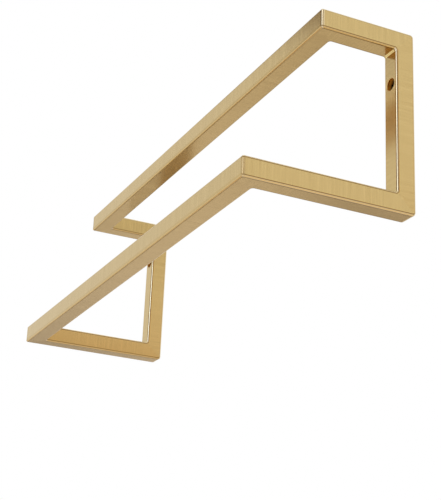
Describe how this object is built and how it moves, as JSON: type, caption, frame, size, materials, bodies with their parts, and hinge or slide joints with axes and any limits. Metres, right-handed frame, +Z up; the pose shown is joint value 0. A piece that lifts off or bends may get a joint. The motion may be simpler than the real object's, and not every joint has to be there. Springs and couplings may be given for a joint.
{
  "type": "double towel rail",
  "caption": "Wall-mounted double towel rail of welded square tube, with the lower rail further from the wall than the upper, on open C-shaped end frames with screw recesses.",
  "frame": {"origin": "on the wall plane, midway between the two fixing holes", "axes": "+X along the rails to the right of someone facing the wall, +Y into the wall, +Z up"},
  "size_m": [0.6, 0.175, 0.185],
  "materials": {
    "tube_brass": "brushed across the tube, satin",
    "weld_brass": "ground flush and brushed over",
    "bush_brass": "turned"
  },
  "bodies": {
    "root": {"upper_rail": "tube_brass", "lower_rail": "tube_brass", "left_upper_arm": "tube_brass", "left_lower_arm": "tube_brass", "left_upright": "tube_brass", "right_upper_arm": "tube_brass", "right_lower_arm": "tube_brass", "right_upright": "tube_brass", "left_upper_front_weld": "weld_brass", "left_lower_front_weld": "weld_brass", "left_upper_wall_weld": "weld_brass", "left_lower_wall_weld": "weld_brass", "right_upper_front_weld": "weld_brass", "right_lower_front_weld": "weld_brass", "right_upper_wall_weld": "weld_brass", "right_lower_wall_weld": "weld_brass", "left_fixing_bush": "bush_brass", "right_fixing_bush": "bush_brass"}
  },
  "joints": []
}
